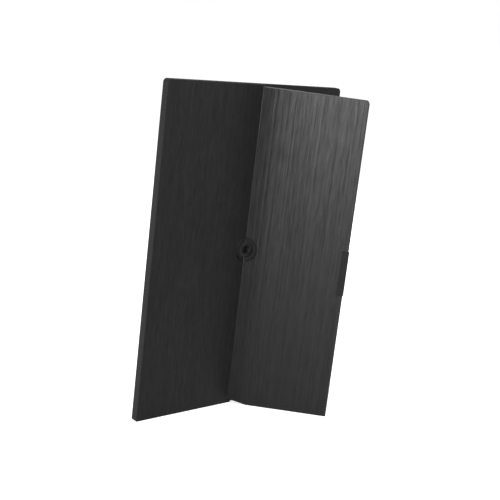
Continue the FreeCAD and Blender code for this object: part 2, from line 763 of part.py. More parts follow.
def power_button():
    flange_r = BUTTON_R + BUTTON_FLANGE_WIDE
    flange = rod_y(BUTTON_X, BUTTON_Z, flange_r, BUTTON_BACK, BUTTON_BACK + BUTTON_FLANGE)
    cap = rod_y(BUTTON_X, BUTTON_Z, BUTTON_R, BUTTON_BACK, THICK + BUTTON_PROUD)
    return ease_rim(cap, THICK + BUTTON_PROUD, BUTTON_PROUD).fuse(flange).removeSplitter()


def status_led():
    return square_part(BUTTON_X, LIGHT_Z, LED_CHIP_SIDE, KEY_FRONT, KEY_FRONT + LED_CHIP_HIGH)


def light_pipe():
    start = KEY_FRONT + LED_CHIP_HIGH
    pipe = rod_y(BUTTON_X, LIGHT_Z, LIGHT_R, start, THICK)
    flange = rod_y(BUTTON_X, LIGHT_Z, LIGHT_FLANGE_R, COVER_DEEP - LIGHT_FLANGE, COVER_DEEP)
    return pipe.fuse(flange).removeSplitter()


def hinge_hub():
    hub = rod_y(HINGE_X, SOCKET_Z, HUB_R, HUB_TOP, CHANNEL_IN)
    wing_x0 = HINGE_X - WING_LONG
    wing = box(wing_x0, HINGE_X, WING_BACK, WING_FRONT, SOCKET_Z - WING_HALF, SOCKET_Z + WING_HALF)
    cuts = [rod_y(HINGE_X, SOCKET_Z, INSERT_BARREL_R + SEAT, HUB_TOP - OVER, CHANNEL_IN - HUB_FLOOR)]
    for x, z in hub_screw_places():
        cuts.append(rod_y(x, z, INNER_SCREW_R + EASY, WING_BACK, WING_FRONT))
    cuts.append(rod_z(HINGE_X, AXIS_DEPTH, PIN_R + SEAT, SOCKET_Z - HUB_R - OVER, SOCKET_Z + HUB_R + OVER))
    return hub.fuse(wing).cut(cuts).removeSplitter()


def socket_insert():
    flange_top = HUB_TOP - INSERT_FLANGE
    barrel_end = CHANNEL_IN - HUB_FLOOR
    insert = rod_y(HINGE_X, SOCKET_Z, INSERT_FLANGE_R, flange_top, HUB_TOP)
    insert = insert.fuse(rod_y(HINGE_X, SOCKET_Z, INSERT_BARREL_R, HUB_TOP, barrel_end))
    bore = rod_y(HINGE_X, SOCKET_Z, THREAD_R, flange_top - OVER, barrel_end - THREAD_FLOOR)
    lead = cone_y(HINGE_X, SOCKET_Z, THREAD_R + THREAD_LEAD, THREAD_R, flange_top, flange_top + THREAD_LEAD)
    return insert.cut([bore, lead]).removeSplitter()


def friction_pins():
    """Two pins that stand out of the hub, up and down, into the flap's bead."""
    start = INSERT_BARREL_R + EASY
    up = rod_z(HINGE_X, AXIS_DEPTH, PIN_R, SOCKET_Z + start, SOCKET_Z + start + FRICTION_PIN_LONG)
    down = rod_z(HINGE_X, AXIS_DEPTH, PIN_R, SOCKET_Z - start - FRICTION_PIN_LONG, SOCKET_Z - start)
    return Part.makeCompound([up, down])


def end_pins():
    """Plain pins at both ends of the hinge, in the lug below and the rim above."""
    low = rod_z(HINGE_X, AXIS_DEPTH, PIN_R, END_PIN_SUNK, END_PIN_SUNK + END_PIN_LONG)
    top_z = HEIGHT - END_PIN_SUNK
    top = rod_z(HINGE_X, AXIS_DEPTH, PIN_R, top_z - END_PIN_LONG, top_z)
    return Part.makeCompound([low, top])


def case_screws():
    under_head = RECESS_FLOOR + CASE_HEAD
    screws = []
    for z in case_screw_heights():
        head = rod_y(CASE_X, z, CASE_HEAD_R, RECESS_FLOOR, under_head)
        shank = rod_y(CASE_X, z, CASE_SCREW_R, under_head, under_head + CASE_SCREW_LONG)
        screws.append(head.fuse(shank).removeSplitter())
    return Part.makeCompound(screws)


def edge_feet():
    back = FOOT_DEPTH - FOOT_WIDE / 2
    front = FOOT_DEPTH + FOOT_WIDE / 2
    outer = HALF + FOOT_PROUD
    return Part.makeCompound([box(HALF - FOOT_SUNK, outer, back, front, z0, z1) for z0, z1 in foot_spans()])


def tab_span():
    return TAB_Z - TAB_LONG / 2, TAB_Z + TAB_LONG / 2


def tab_tongue():
    """Web of the flap that runs into the rubber tab."""
    z0, z1 = tab_span()
    middle = (SKIN + FLAP) / 2
    x0 = FLAP_END - TAB_WIDE
    return box(x0, FLAP_END - TONGUE_SHORT, middle - TONGUE / 2, middle + TONGUE / 2, z0, z1)


def tab_space():
    z0, z1 = tab_span()
    return box(FLAP_END - TAB_WIDE, FLAP_END + OVER, -OVER, FLAP + OVER, z0, z1)


def inner_pockets():
    """Shallow pockets between the stiffening ribs on the flap's inner face."""
    x0 = HINGE_X + DISH_R + POCKET_RIB
    x1 = FLAP_END - POCKET_EDGE
    z0 = POCKET_EDGE
    z1 = FLAP_TOP - POCKET_EDGE
    wide = (x1 - x0 - (POCKET_COLUMNS - 1) * POCKET_RIB) / POCKET_COLUMNS
    high = (z1 - z0 - (POCKET_ROWS - 1) * POCKET_RIB) / POCKET_ROWS
    pockets = []
    for column in range(POCKET_COLUMNS):
        x = x0 + column * (wide + POCKET_RIB)
        for row in range(POCKET_ROWS):
            z = z0 + row * (high + POCKET_RIB)
            pockets.append(box(x, x + wide, FLAP - POCKET_DEEP, FLAP + OVER, z, z + high))
    return pockets


def flap_skin_plate():
    return slab(flap_outline(HINGE_X, SKIN_RIM, FLAP_SIDE_RIM), 0, SKIN)


def flap_notch():
    return rod_y(HINGE_X, SOCKET_Z, NOTCH_R, -OVER, AXIS_DEPTH + BEAD_R + OVER)


def bead_bores():
    """Bores in the bead for the sleeves, the friction pins and the end pins."""
    pin_reach = INSERT_BARREL_R + EASY + FRICTION_PIN_LONG + MOVING
    sleeve_reach = NOTCH_R + SLEEVE_LONG
    bores = [rod_z(HINGE_X, AXIS_DEPTH, BORE_R, SOCKET_Z - pin_reach, SOCKET_Z + pin_reach)]
    bores.append(rod_z(HINGE_X, AXIS_DEPTH, SLEEVE_R, SOCKET_Z - sleeve_reach, SOCKET_Z + sleeve_reach))
    end_reach = END_PIN_SUNK + END_PIN_LONG + MOVING
    bores.append(rod_z(HINGE_X, AXIS_DEPTH, BORE_R, 0, end_reach))
    bores.append(rod_z(HINGE_X, AXIS_DEPTH, BORE_R, HEIGHT - end_reach, HEIGHT))
    return bores


def flap_frame():
    plate = slab(flap_outline(HINGE_X, 0, 0), 0, FLAP)
    back = depth_y(0)
    rim = []
    for edge in plate.Edges:
        flat = all(abs(v.Y - back) < SEAT for v in edge.Vertexes)
        at_hinge = all(abs(v.X - HINGE_X) < SEAT for v in edge.Vertexes)
        if flat and not at_hinge:
            rim.append(edge)
    plate = plate.makeChamfer(FLAP_CHAMFER, rim)
    bead = rod_z(HINGE_X, AXIS_DEPTH, BEAD_R, 0, FLAP_TOP)
    bead = bead.common(slab(flap_outline(HINGE_X - BEAD_R - OVER, 0, 0), -OVER, AXIS_DEPTH + BEAD_R + OVER))
    frame = plate.fuse(bead).cut([flap_skin_plate(), flap_notch(), dish(), tab_space()])
    frame = frame.cut(bead_bores() + inner_pockets())
    return frame.fuse(tab_tongue()).removeSplitter()


def flap_skin():
    return flap_skin_plate().cut([flap_notch(), dish(), tab_space()]).removeSplitter()


def friction_sleeves():
    sleeves = []
    for z0 in (SOCKET_Z + NOTCH_R, SOCKET_Z - NOTCH_R - SLEEVE_LONG):
        sleeve = rod_z(HINGE_X, AXIS_DEPTH, SLEEVE_R, z0, z0 + SLEEVE_LONG)
        sleeves.append(sleeve.cut(rod_z(HINGE_X, AXIS_DEPTH, BORE_R, z0, z0 + SLEEVE_LONG)))
    return Part.makeCompound(sleeves)


def tab_outline():
    """Outline of the pull tab, whose outer corners slope back to the edge of the flap."""
    z0, z1 = tab_span()
    inner_x = FLAP_END - TAB_WIDE
    outer_x = FLAP_END + TAB_PROUD
    corners = [(inner_x, z0, 0), (FLAP_END, z0, 0), (outer_x, z0 + TAB_SLOPE, 0)]
    return corners + [(outer_x, z1 - TAB_SLOPE, 0), (FLAP_END, z1, 0), (inner_x, z1, 0)]


def pull_tab():
    tab = slab(tab_outline(), -TAB_RAISED, FLAP)
    outer_x = FLAP_END + TAB_PROUD
    outer = []
    for edge in tab.Edges:
        at_end = all(abs(v.X - outer_x) < SEAT for v in edge.Vertexes)
        if at_end and edge.Length > FLAP + OVER:
            outer.append(edge)
    return tab.makeFillet(TAB_ROUND, outer).cut(tab_tongue())


def swing_open(shape):
    """Turn a piece of the closed flap to the open angle about the hinge."""
    return shape.rotated(V(HINGE_X, depth_y(AXIS_DEPTH), 0), V(0, 0, 1), -FLAP_OPEN)


BODY_PIECES = (
    rear_cover, rear_skin, front_bezel, lcd_tray, reflector_sheet, light_guide, optical_films, lcd_cell,
    led_strip, backlight_leds, driver_flex, panel_board, panel_cable, main_board, board_screws, shield_can,
    controller_chip, memory_chip, power_coils, cable_sockets, button_cable, usb_port, usb_tongue,
    button_board, tact_switch, status_led, light_pipe, hinge_hub, hub_screws, socket_insert,
    friction_pins, end_pins, case_screws, edge_feet, power_button, switch_plunger,
)
FLAP_PIECES = (flap_frame, flap_skin, friction_sleeves, pull_tab)


os.makedirs(OUT_DIR, exist_ok=True)
pieces = [(make.__name__, make()) for make in BODY_PIECES]
pieces += [(make.__name__, swing_open(make())) for make in FLAP_PIECES]
for name, shape in pieces:
    shape.exportStep(os.path.join(OUT_DIR, name + ".step"))
    solids = len(shape.Solids)
    print(name, "solids", solids, "volume", round(shape.Volume, 1), "valid", shape.isValid())
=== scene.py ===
# %% [markdown]
# # A slim portable monitor, seen from behind
# The monitor stands upright on its short edge, and half of its back is swung open as a stand.
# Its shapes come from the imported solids, which load here as a fixed frame in metres.
# The lesson gives every piece its real finish, adds the small repeated forms with node trees,
# and then sets up the floor, the light and the camera.

# %% Load the frame
import math
import bpy
from mathutils import Matrix, Vector


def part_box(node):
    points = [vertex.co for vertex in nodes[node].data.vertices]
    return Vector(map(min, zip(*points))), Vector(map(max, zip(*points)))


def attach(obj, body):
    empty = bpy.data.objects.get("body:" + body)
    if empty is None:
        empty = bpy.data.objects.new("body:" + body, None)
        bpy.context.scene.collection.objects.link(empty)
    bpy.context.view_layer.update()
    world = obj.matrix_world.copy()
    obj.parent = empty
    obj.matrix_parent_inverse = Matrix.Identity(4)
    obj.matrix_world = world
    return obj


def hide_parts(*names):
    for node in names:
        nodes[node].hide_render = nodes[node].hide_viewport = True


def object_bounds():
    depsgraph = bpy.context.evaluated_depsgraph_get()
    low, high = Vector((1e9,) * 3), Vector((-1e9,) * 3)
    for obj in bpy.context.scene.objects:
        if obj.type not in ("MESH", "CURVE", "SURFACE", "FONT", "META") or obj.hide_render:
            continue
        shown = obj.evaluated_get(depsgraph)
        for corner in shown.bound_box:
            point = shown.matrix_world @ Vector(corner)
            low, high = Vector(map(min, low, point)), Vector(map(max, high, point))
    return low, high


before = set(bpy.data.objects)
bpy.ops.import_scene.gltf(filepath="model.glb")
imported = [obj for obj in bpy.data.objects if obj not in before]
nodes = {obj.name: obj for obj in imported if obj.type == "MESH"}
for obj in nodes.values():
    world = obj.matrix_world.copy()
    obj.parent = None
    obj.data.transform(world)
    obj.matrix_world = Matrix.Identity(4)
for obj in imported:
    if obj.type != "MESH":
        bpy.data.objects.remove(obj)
cad_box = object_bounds()
MM = 0.001
print("solid box in mm", [[round(v / MM, 2) for v in corner] for corner in cad_box])

# %% [markdown]
# ## Four small helpers
# Colours are easiest to pick as sRGB hex values, but shaders work with linear light,
# so one function converts them. A second adds any node with its settings, values and links,
# for shader trees and geometry trees alike. A third starts a material and fills in
# the values that are the same all over its surface, straight on the shader's own sockets.
# The last puts a material on the pieces that have it.

# %% Colour, node and finish helpers
def hex_linear(text):
    """Linear colour of an sRGB hex value, by the standard sRGB curve."""
    levels = [int(text[i:i + 2], 16) / 255 for i in (0, 2, 4)]
    linear = [c / 12.92 if c <= 0.04045 else ((c + 0.055) / 1.055) ** 2.4 for c in levels]
    return (*linear, 1.0)


def add(tree, kind, values=None, links=None, **settings):
    """Add a node: settings are its properties, values its own inputs, links its linked inputs."""
    node = tree.nodes.new(kind)
    for name, value in settings.items():
        setattr(node, name, value)
    for key, value in (values or {}).items():
        node.inputs[key].default_value = value
    for key, socket in (links or {}).items():
        tree.links.new(socket, node.inputs[key])
    return node


def start_finish(name, sockets):
    """New material with these constant sockets, its tree, its shader and its object coordinates."""
    finish = bpy.data.materials.new(name)
    finish.use_nodes = True
    tree = finish.node_tree
    shader = tree.nodes["Principled BSDF"]
    for key, value in sockets.items():
        shader.inputs[key].default_value = value
    place = add(tree, "ShaderNodeTexCoord").outputs["Object"]
    return finish, tree, shader, place


def dress(finish, *names):
    for name in names:
        for slot in nodes[name].material_slots:
            slot.material = finish
    print(finish.name, "on", ", ".join(names))


# %% [markdown]
# ## Patterns at their real size
# Streaks, grain, lumps and dots are textures, and each has a size on the real piece.
# So a texture is laid through a Mapping node that makes one of its cells that many millimetres long.
# A pattern can then do three things to a surface: shift its colour between two tones,
# shift its roughness between two levels, and press a shallow relief into it.
# Noise seldom leaves the middle of its range, so only that part is spread over the roughness.

# %% Helpers for patterns
NOISE_SPAN = {"From Min": 0.3, "From Max": 0.7}
FULL_SPAN = {"From Min": 0.0, "From Max": 1.0}


def lay(tree, place, kind, cell_mm, values):
    """Lay a texture of any kind over a piece, with cells of this size in millimetres."""
    scale = tuple(1 / (side * MM) for side in cell_mm)
    laid = add(tree, "ShaderNodeMapping", {"Scale": scale}, {"Vector": place})
    return add(tree, kind, {"Scale": 1.0, **values}, {"Vector": laid.outputs[0]}).outputs[0]


def mark(tree, shader, pattern, colours=None, rough=None, relief=None, span=NOISE_SPAN):
    """Let a pattern set the colour, the roughness or a relief, given as its strength and depth in mm."""
    if colours:
        dark, light = [hex_linear(text) for text in colours]
        colour = add(tree, "ShaderNodeMix", {6: dark, 7: light}, {0: pattern}, data_type="RGBA")
        tree.links.new(colour.outputs[2], shader.inputs["Base Color"])
    if rough:
        polish = add(tree, "ShaderNodeMapRange", {**span, "To Min": rough[0], "To Max": rough[1]},
                     {"Value": pattern})
        tree.links.new(polish.outputs[0], shader.inputs["Roughness"])
    if relief:
        bump = add(tree, "ShaderNodeBump", {"Strength": relief[0], "Distance": relief[1] * MM},
                   {"Height": pattern})
        tree.links.new(bump.outputs[0], shader.inputs["Normal"])


# %% [markdown]
# ## Brushed anodised aluminium
# Both halves of the back are thin aluminium sheet, brushed along the long side and dyed nearly black.
# The dyed oxide layer is clear and glassy over a dark ground, so it is shaded as a dark coat
# over fine scratches and not as bare metal. The eye sees long soft streaks that never repeat,
# some duller and some brighter than the ground, and a glow that is drawn out along the scratches.
# Real scratches are about 0.1 mm wide, too fine to show here, so the streaks are drawn 2 to 3 mm wide:
# long on the flap, and short and faint on the duller fixed half. On the flap their gloss is partly a
# painted highlight:
# the streaks' contrast is raised towards the top, where the key lamp's reflection lies, and fades
# towards the foot.
# The sheet on the flap is rolled over the bead of the hinge, and the fixed sheet dips a little towards
# it.
# Both bends are too slight for the outline, so they are relief in the finish.

# %% Finish of the brushed skins
LONG_WIDE = 3.0
SHORT_WIDE = 2.0
SHORT_SHARE = 0.45
STREAK_MEAN = 0.5
SCRATCH_DEEP = 0.08
TRUE_RELIEF = (1.0, 1.0)
POLISHED = 0.9
# Heights in mm over which the painted highlight on the streaks rises from its value at the foot to full
# contrast
PAINTED_HIGHLIGHT_Z = (60.0, 330.0)
DYED = ("090909", "0e0e0e")
BOWED = {"long": 40.0, "short": 9.0, "rough": 0.46, "drawn": 0.5, "roll_wide": 60.0, "roll_slope": 0.11,
         "dull": 0.58, "bright": 0.84, "painted_highlight_foot": 1.0}
ROLLED = {"long": 320.0, "short": 20.0, "rough": 0.3, "drawn": 0.85, "roll_wide": 24.0,
          "roll_slope": 0.04, "dull": 0.39, "bright": 1.02, "painted_highlight_foot": 0.45}

pin_low, pin_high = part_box("end_pins")
hinge_axis = (pin_low + pin_high) / 2


def hinge_roll(tree, place, wide, slope):
    """Height in mm of a sheet that bends down within so many mm of the hinge, to this slope."""
    from_hinge = add(tree, "ShaderNodeMapping", {"Location": [-v for v in hinge_axis]},
                     {"Vector": place})
    flat = add(tree, "ShaderNodeVectorMath", {1: (1 / MM, 1 / MM, 0.0)}, {0: from_hinge.outputs[0]},
               operation="MULTIPLY")
    reach = add(tree, "ShaderNodeVectorMath", links={0: flat.outputs[0]}, operation="LENGTH")
    bend = add(tree, "ShaderNodeMapRange",
               {"From Min": 0.0, "From Max": wide, "To Min": wide, "To Max": 0.0},
               {"Value": reach.outputs["Value"]})
    square = add(tree, "ShaderNodeMath", links={0: bend.outputs[0], 1: bend.outputs[0]},
                 operation="MULTIPLY")
    drop = add(tree, "ShaderNodeMath", {1: -slope / (2 * wide)}, {0: square.outputs[0]},
               operation="MULTIPLY")
    return drop.outputs[0]


def brushed_aluminium(name, long, short, rough, drawn, roll_wide, roll_slope, dull, bright, painted_highlight_foot):
    """Dark brushed sheet: streak lengths and roll width in mm, gloss drawn out along the streaks."""
    sockets = {"Metallic": 0.0, "IOR": 1.6, "Specular IOR Level": 0.134, "Anisotropic": drawn}
    finish, tree, shader, place = start_finish(name, sockets)
    long_streaks = lay(tree, place, "ShaderNodeTexNoise", (LONG_WIDE, LONG_WIDE, long),
                       {"Detail": 2.0, "Roughness": 0.6})
    short_streaks = lay(tree, place, "ShaderNodeTexNoise", (SHORT_WIDE, SHORT_WIDE, short),
                        {"Detail": 1.0})
    mixed = add(tree, "ShaderNodeMix", {0: SHORT_SHARE}, {2: long_streaks, 3: short_streaks})
    streaks = mixed.outputs[0]
    tone = add(tree, "ShaderNodeMapRange", NOISE_SPAN, {"Value": streaks})
    mark(tree, shader, tone.outputs[0], colours=DYED)
    mark(tree, shader, streaks, rough=(rough, POLISHED * rough))
    # Painted highlight: the contrast of the streaks in the gloss tint is scaled from its foot value at
    # the bottom to full towards the top, where the key lamp's reflection lies
    height = add(tree, "ShaderNodeSeparateXYZ", links={0: place}).outputs["Z"]
    low, high = [z * MM for z in PAINTED_HIGHLIGHT_Z]
    painted_highlight_fade = add(tree, "ShaderNodeMapRange",
                {"From Min": low, "From Max": high, "To Min": painted_highlight_foot, "To Max": 1.0}, {"Value": height})
    centred = add(tree, "ShaderNodeMath", {1: STREAK_MEAN}, {0: streaks}, operation="SUBTRACT")
    brushed = add(tree, "ShaderNodeMath", {2: STREAK_MEAN}, {0: centred.outputs[0], 1: painted_highlight_fade.outputs[0]},
                  operation="MULTIPLY_ADD")
    shine = add(tree, "ShaderNodeMapRange", {**NOISE_SPAN, "To Min": dull, "To Max": bright},
                {"Value": brushed.outputs[0]})
    tree.links.new(shine.outputs[0], shader.inputs["Specular Tint"])
    along = add(tree, "ShaderNodeCombineXYZ", {"Z": 1.0})
    tree.links.new(along.outputs[0], shader.inputs["Tangent"])
    drop = hinge_roll(tree, place, roll_wide, roll_slope)
    form = add(tree, "ShaderNodeMath", {1: SCRATCH_DEEP}, {0: long_streaks, 2: drop},
               operation="MULTIPLY_ADD")
    mark(tree, shader, form.outputs[0], relief=TRUE_RELIEF)
    return finish


bowed_finish = brushed_aluminium("anodised_aluminium_brushed_bowed", **BOWED)
dress(bowed_finish, "rear_skin")
rolled_finish = brushed_aluminium("anodised_aluminium_brushed_rolled", **ROLLED)
dress(rolled_finish, "flap_skin")

# %% [markdown]
# ## Moulded ABS with a spark-eroded grain
# The rear cover and the frame of the flap are dark ABS. The mould was eroded by sparks, which leaves
# a fine even grain that scatters the light, so edges look soft and faces have hardly any sheen.
# The frame of the flap comes from a smoother mould, which gives its thin edge a satin shine;
# only the cut-out round the socket is milled afterwards and stays dull.
# The real grain is about 0.1 mm, drawn here at 0.5 mm so that it shows. Over it lie broad faint patches
# where the melt flowed, because a face of one even tone would look painted.

# %% Finish of the cover and the flap frame
SPARK_GRAIN = (0.5, 0.5, 0.5)
SPARK_RELIEF = (0.2, 0.06)
FLOW_PATCH = (35.0, 35.0, 60.0)
PATCH_SHARE = 0.5
MILLED_R = (12.6, 13.4)
MILLED_ROUGH = 0.9

socket_low, socket_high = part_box("socket_insert")
socket_axis = (socket_low + socket_high) / 2


def moulded_abs(name, colours, rough, gloss):
    finish, tree, shader, place = start_finish(name, {"IOR": 1.53, "Specular IOR Level": gloss})
    grain = lay(tree, place, "ShaderNodeTexNoise", SPARK_GRAIN, {"Detail": 2.0})
    patch = lay(tree, place, "ShaderNodeTexNoise", FLOW_PATCH, {"Detail": 3.0})
    mixed = add(tree, "ShaderNodeMix", {0: PATCH_SHARE}, {2: grain, 3: patch})
    mark(tree, shader, mixed.outputs[0], colours=colours)
    mark(tree, shader, grain, relief=SPARK_RELIEF)
    moulded = add(tree, "ShaderNodeMapRange", {**NOISE_SPAN, "To Min": rough[0], "To Max": rough[1]},
                  {"Value": patch})
    reach = add(tree, "ShaderNodeVectorMath", {1: socket_axis}, {0: place}, operation="DISTANCE")
    inner, outer = [r * MM for r in MILLED_R]
    milled = add(tree, "ShaderNodeMapRange",
                 {"From Min": inner, "From Max": outer, "To Min": MILLED_ROUGH},
                 {"Value": reach.outputs["Value"], "To Max": moulded.outputs[0]})
    tree.links.new(milled.outputs[0], shader.inputs["Roughness"])
    return finish


cover_finish = moulded_abs("abs_moulded_spark_grain", ("111111", "1a1a1a"), rough=(0.6, 0.7), gloss=0.11)
dress(cover_finish, "rear_cover")
satin_finish = moulded_abs("abs_moulded_satin", ("161616", "202020"), rough=(0.36, 0.46), gloss=0.15)
dress(satin_finish, "flap_frame")

# %% [markdown]
# ## Fine matt ABS of the screen frame
# The frame round the screen and the button are the same plastic. Their mould is a touch smoother
# than the cover's and still matt, so that they don't catch the eye beside the picture.
# The same function makes it with other values.

# %% Finish of the screen frame and the button
frame_finish = moulded_abs("abs_moulded_fine_matt", ("131313", "1d1d1d"), rough=(0.55, 0.66), gloss=0.15)
dress(frame_finish, "front_bezel", "power_button", "switch_plunger")

# %% [markdown]
# ## Anti-glare screen
# The front of the screen is a polariser film with a matt, low-reflection coat. Switched off it is
# nearly black, and the coat breaks reflections into a soft haze with a very fine sparkle,
# drawn at 0.35 mm. One noise pattern gives the tone, the haze and the sparkle.
# Other pieces need the same with other values, so it is a function of its own.

# %% Finish of the screen
SPARKLE = (0.35, 0.35, 0.35)


def grained(name, cell_mm, sockets, colours, rough=None, relief=None, detail=2.0):
    """Finish that one noise pattern marks, with cells of this size in millimetres."""
    finish, tree, shader, place = start_finish(name, sockets)
    grain = lay(tree, place, "ShaderNodeTexNoise", cell_mm, {"Detail": detail})
    mark(tree, shader, grain, colours, rough, relief)
    return finish


screen_finish = grained("polariser_film_anti_glare", SPARKLE, {"IOR": 1.49, "Specular IOR Level": 0.28},
                        ("0c0d10", "15171b"), rough=(0.3, 0.42), relief=(0.05, 0.02), detail=1.0)
dress(screen_finish, "lcd_cell")

# %% [markdown]
# ## Moulded rubber
# The pull tab on the flap and the pads on the long edge are black silicone rubber.
# It is matt, takes up dust, and has a slight orange-peel from its mould, drawn at 0.8 mm.
# Dust and peel have different sizes, so each is a pattern of its own.

# %% Finish of the tab and the pads
PEEL = (0.8, 0.8, 0.8)
DUST = (6.0, 6.0, 9.0)


def moulded_rubber():
    sockets = {"IOR": 1.42, "Specular IOR Level": 0.2}
    finish, tree, shader, place = start_finish("silicone_rubber_moulded", sockets)
    peel = lay(tree, place, "ShaderNodeTexNoise", PEEL, {"Detail": 2.0})
    dust = lay(tree, place, "ShaderNodeTexNoise", DUST, {"Detail": 4.0})
    mark(tree, shader, dust, colours=("0f0f10", "19191a"), rough=(0.62, 0.8))
    mark(tree, shader, peel, relief=(0.25, 0.08))
    return finish


rubber_finish = moulded_rubber()
dress(rubber_finish, "pull_tab", "edge_feet")

# %% [markdown]
# ## Turned and blackened steel, and the coated casting
# The socket in the middle of the hinge is a turned steel insert in a zinc casting.
# Turning leaves fine rings round the hole, about 0.1 mm apart and drawn at 0.5 mm;
# blackening leaves it dark with a low shine. A wave texture centred on the socket draws such rings.
# The casting has a dipped dark coat that is a little lumpy.

# %% Finishes of the socket
# A wave texture of scale 1 repeats after this length
WAVE_LONG = math.pi / 10
RING_STEP = 0.5
CAST_LUMP = (1.2, 1.2, 1.2)


def turned_steel(name, centre):
    finish, tree, shader, place = start_finish(name, {"Metallic": 1.0})
    shifted = add(tree, "ShaderNodeMapping", {"Location": [-v for v in centre]}, {"Vector": place})
    rings = add(tree, "ShaderNodeTexWave",
                {"Scale": WAVE_LONG / (RING_STEP * MM), "Distortion": 0.6, "Detail": 1.0},
                {"Vector": shifted.outputs[0]}, wave_type="RINGS", rings_direction="Y")
    mark(tree, shader, rings.outputs["Fac"], colours=("202020", "2c2c2c"), rough=(0.45, 0.58),
         relief=(0.15, 0.03), span=FULL_SPAN)
    return finish


insert_finish = turned_steel("steel_turned_blackened", socket_axis)
dress(insert_finish, "socket_insert")
casting_finish = grained("zinc_cast_dark_dipped", CAST_LUMP, {"IOR": 1.5, "Specular IOR Level": 0.2},
                         ("1c1c1c", "282828"), rough=(0.5, 0.65), relief=(0.2, 0.05), detail=3.0)
dress(casting_finish, "hinge_hub")

# %% [markdown]
# ## Plated, rolled and blackened steel
# The port's shell and the screws inside are nickel-plated steel; the tray behind the screen
# and the can on the board are bright rolled sheet; the pins of the hinge, their sleeves
# and the case screws are blackened. Plating and blackening are smooth, with faint drawing lines
# along the piece. Rolled sheet shows broad streaks along the rolling direction.
# Lines and streaks are noise with cells that are stretched along the piece.

# %% Finishes of plated, rolled and blackened steel
DRAWN_LINE = (0.4, 0.4, 6.0)
ROLLED_LINE = (1.5, 1.5, 45.0)
METAL = {"Metallic": 1.0}

plated_finish = grained("steel_nickel_plated", DRAWN_LINE, METAL, ("b5b2ab", "cbc8c1"),
                        rough=(0.2, 0.32))
dress(plated_finish, "usb_port", "board_screws", "hub_screws")
sheet_finish = grained("steel_sheet_rolled_bright", ROLLED_LINE, METAL, ("a9abac", "c4c6c7"),
                       rough=(0.28, 0.42))
dress(sheet_finish, "lcd_tray", "shield_can")
black_steel_finish = grained("steel_drawn_blackened", DRAWN_LINE, METAL, ("232323", "343434"),
                             rough=(0.38, 0.5))
dress(black_steel_finish, "friction_pins", "friction_sleeves", "end_pins")

# %% [markdown]
# ## Boards, flat cables and chips
# Inside, the boards are glass-fibre laminate under a green solder mask, the flat cables and circuits are
# amber polyimide with copper lines, and the chips are black epoxy with a sandy mould grain.
# They are out of sight in the closed case, so each has one clear pattern: straight bands
# of a wave texture for the lines, and noise for the grain.

# %% Finishes of the electronics
TRACK_STEP = 1.6
WIRE_STEP = 0.5
LINE_EDGE = {"From Min": 0.45, "From Max": 0.6}
LINE_RELIEF = (0.3, 0.04)
EPOXY_GRAIN = (0.3, 0.3, 0.3)
GRAIN_RELIEF = (0.15, 0.04)


def lined_laminate(name, step_mm, direction, colours, sockets):
    finish, tree, shader, place = start_finish(name, sockets)
    bands = add(tree, "ShaderNodeTexWave", {"Scale": WAVE_LONG / (step_mm * MM), "Distortion": 0.0},
                {"Vector": place}, wave_type="BANDS", bands_direction=direction, wave_profile="TRI")
    lines = add(tree, "ShaderNodeMapRange", LINE_EDGE, {"Value": bands.outputs["Fac"]})
    mark(tree, shader, lines.outputs[0], colours, relief=LINE_RELIEF)
    return finish


board_finish = lined_laminate("glass_fibre_board_green_mask", TRACK_STEP, "DIAGONAL",
                              ("14452a", "1f6a3e"), {"Roughness": 0.35, "IOR": 1.55})
dress(board_finish, "main_board", "panel_board", "button_board")
film_finish = lined_laminate("polyimide_film_etched", WIRE_STEP, "Z",
                             ("a8641c", "c98a45"), {"Roughness": 0.3, "IOR": 1.7})
dress(film_finish, "driver_flex", "panel_cable", "button_cable", "led_strip")
epoxy_finish = grained("epoxy_moulded_black", EPOXY_GRAIN, {"Roughness": 0.55, "IOR": 1.55},
                       ("1d1d1e", "29292a"), relief=GRAIN_RELIEF)
dress(epoxy_finish, "controller_chip", "memory_chip", "power_coils", "tact_switch", "usb_tongue")

# %% [markdown]
# ## Light layers behind the screen
# The backlight is a stack: lamps along one edge, a clear acrylic guide with printed dots,
# a white sheet behind it and diffusing films in front. The small status light shows through a clear pin
# of polycarbonate in the frame, which looks milky where it is frosted. The dots are a Voronoi texture
# without its randomness, which is an even grid, and they are rough where the plastic between is clear.

# %% Finishes of the light layers
FILM_CLOUD = (4.0, 4.0, 4.0)
DOT_STEP = (1.2, 1.2, 1.2)
DOT_EDGE = {"From Min": 0.2, "From Max": 0.4}
FROSTED = 0.6
CLEAR = 0.08

white_finish = grained("polyester_film_white", FILM_CLOUD, {"Roughness": 0.6, "IOR": 1.58},
                       ("e6e6e4", "f1f1ef"), relief=GRAIN_RELIEF)
dress(white_finish, "reflector_sheet", "optical_films", "cable_sockets")
lamp_finish = grained("phosphor_resin_cast", EPOXY_GRAIN, {"Roughness": 0.25, "IOR": 1.5},
                      ("e8d98a", "f4ecc0"), relief=GRAIN_RELIEF)
dress(lamp_finish, "backlight_leds", "status_led")


def dotted_clear(name, sockets):
    finish, tree, shader, place = start_finish(name, sockets)
    dots = lay(tree, place, "ShaderNodeTexVoronoi", DOT_STEP, {"Randomness": 0.0})
    frost = add(tree, "ShaderNodeMapRange", {**DOT_EDGE, "To Min": FROSTED, "To Max": CLEAR},
                {"Value": dots})
    tree.links.new(frost.outputs[0], shader.inputs["Roughness"])
    mark(tree, shader, frost.outputs[0], colours=("f2f4f4", "dfe6e8"))
    return finish


guide_finish = dotted_clear("acrylic_clear_dotted", {"IOR": 1.49, "Transmission Weight": 0.8})
dress(guide_finish, "light_guide")
pin_finish = dotted_clear("polycarbonate_frosted_pin", {"IOR": 1.58, "Transmission Weight": 0.4})
dress(pin_finish, "light_pipe")

# %% [markdown]
# ## Node trees for what repeats
# Screws, thread, ribs and contacts are one shape set out many times or swept along a path.
# A geometry node tree says that once, with its sizes as named inputs. The tree runs on an empty mesh,
# and its result is kept as a plain mesh, so that nothing is left to evaluate later.

